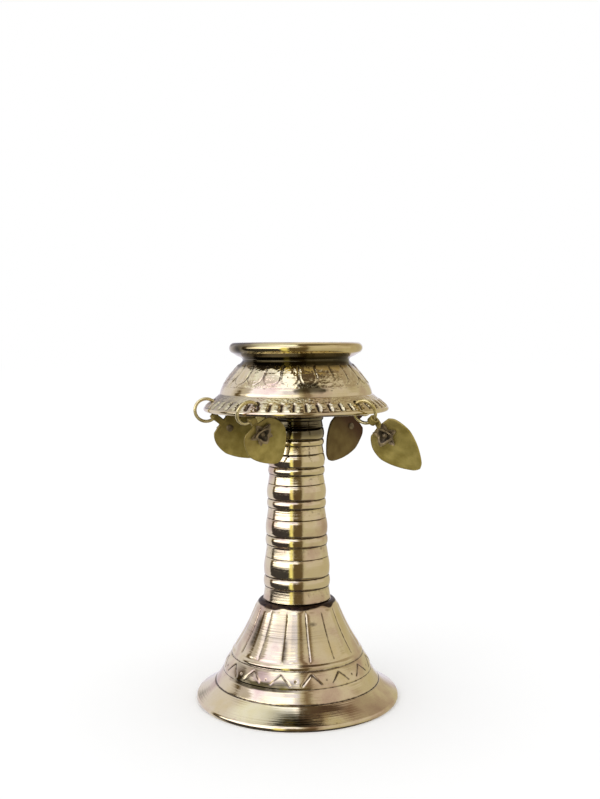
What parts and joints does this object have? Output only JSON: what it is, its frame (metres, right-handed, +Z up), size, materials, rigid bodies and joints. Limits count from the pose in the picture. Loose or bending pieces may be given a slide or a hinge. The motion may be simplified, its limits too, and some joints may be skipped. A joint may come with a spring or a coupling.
{
  "type": "pedestal oil lamp",
  "caption": "Turned brass pedestal lamp: shallow oil bowl on a flared canopy, ribbed stem and bell foot, with leaf-shaped pendants that swing on wire rings around the canopy's edge.",
  "frame": {"origin": "centre of the face that the foot stands on", "axes": "+Z up along the stem; the pendant whose leaf stands out lies between +X and -Y"},
  "size_m": [0.0946, 0.0945, 0.165],
  "materials": {
    "polished": "polished, patina in the chasing",
    "wire": "drawn wire",
    "leaf": "satin sheet",
    "flower": "dull cast"
  },
  "bodies": {
    "lamp": {"foot": "polished", "stem": "polished", "bowl_head": "polished"},
    "ring_1_body": {"ring_1": "wire"},
    "leaf_1_body": {"leaf_1": "leaf", "flower_1": "flower", "rivet_1": "flower"},
    "ring_2_body": {"ring_2": "wire"},
    "leaf_2_body": {"leaf_2": "leaf", "flower_2": "flower", "rivet_2": "flower"},
    "ring_3_body": {"ring_3": "wire"},
    "leaf_3_body": {"leaf_3": "leaf", "flower_3": "flower", "rivet_3": "flower"},
    "ring_4_body": {"ring_4": "wire"},
    "leaf_4_body": {"leaf_4": "leaf", "flower_4": "flower", "rivet_4": "flower"},
    "ring_5_body": {"ring_5": "wire"},
    "leaf_5_body": {"leaf_5": "leaf", "flower_5": "flower", "rivet_5": "flower"},
    "ring_6_body": {"ring_6": "wire"},
    "leaf_6_body": {"leaf_6": "leaf", "flower_6": "flower", "rivet_6": "flower"}
  },
  "joints": [
    {"name": "ring_1_tilt", "type": "hinge", "parent": "lamp", "child": "ring_1_body", "pos_m": [0.0372, 0.01896, 0.13457], "axis": [0.6821, 0.3475, -0.6434], "range_deg": [-25, 25]},
    {"name": "leaf_1_swing", "type": "hinge", "parent": "ring_1_body", "child": "leaf_1_body", "pos_m": [0.0372, 0.01896, 0.13457], "axis": [0.454, -0.891, 0], "range_deg": [-11.3, 122]},
    {"name": "ring_2_tilt", "type": "hinge", "parent": "lamp", "child": "ring_2_body", "pos_m": [0.00797, 0.04099, 0.13457], "axis": [0.1461, 0.7515, -0.6434], "range_deg": [-25, 25]},
    {"name": "leaf_2_swing", "type": "hinge", "parent": "ring_2_body", "child": "leaf_2_body", "pos_m": [0.00797, 0.04099, 0.13457], "axis": [0.9816, -0.1908, 0], "range_deg": [-41.3, 92]},
    {"name": "ring_3_tilt", "type": "hinge", "parent": "lamp", "child": "ring_3_body", "pos_m": [-0.02739, 0.03151, 0.13457], "axis": [-0.5022, 0.5777, -0.6434], "range_deg": [-25, 25]},
    {"name": "leaf_3_swing", "type": "hinge", "parent": "ring_3_body", "child": "leaf_3_body", "pos_m": [-0.02739, 0.03151, 0.13457], "axis": [0.7547, 0.6561, 0], "range_deg": [-1.62, 131.68]},
    {"name": "ring_4_tilt", "type": "hinge", "parent": "lamp", "child": "ring_4_body", "pos_m": [-0.0417, -0.00219, 0.13457], "axis": [-0.7645, -0.0401, -0.6434], "range_deg": [-25, 25]},
    {"name": "leaf_4_swing", "type": "hinge", "parent": "ring_4_body", "child": "leaf_4_body", "pos_m": [-0.0417, -0.00219, 0.13457], "axis": [-0.0523, 0.9986, 0], "range_deg": [-1.62, 131.68]},
    {"name": "ring_5_tilt", "type": "hinge", "parent": "lamp", "child": "ring_5_body", "pos_m": [-0.02653, -0.03141, 0.1352], "axis": [-0.8396, -0.1556, -0.5205], "range_deg": [-25, 25]},
    {"name": "leaf_5_swing", "type": "hinge", "parent": "ring_5_body", "child": "leaf_5_body", "pos_m": [-0.02653, -0.03141, 0.1352], "axis": [-0.39, 0.8396, 0.3782], "range_deg": [-5.62, 127.68]},
    {"name": "ring_6_tilt", "type": "hinge", "parent": "lamp", "child": "ring_6_body", "pos_m": [0.0243, -0.0336, 0.13486], "axis": [0.722, -0.365, -0.5878], "range_deg": [-25, 25]},
    {"name": "leaf_6_swing", "type": "hinge", "parent": "ring_6_body", "child": "leaf_6_body", "pos_m": [0.0243, -0.0336, 0.13486], "axis": [-0.5966, -0.7587, -0.2617], "range_deg": [-93.3, 40]}
  ]
}
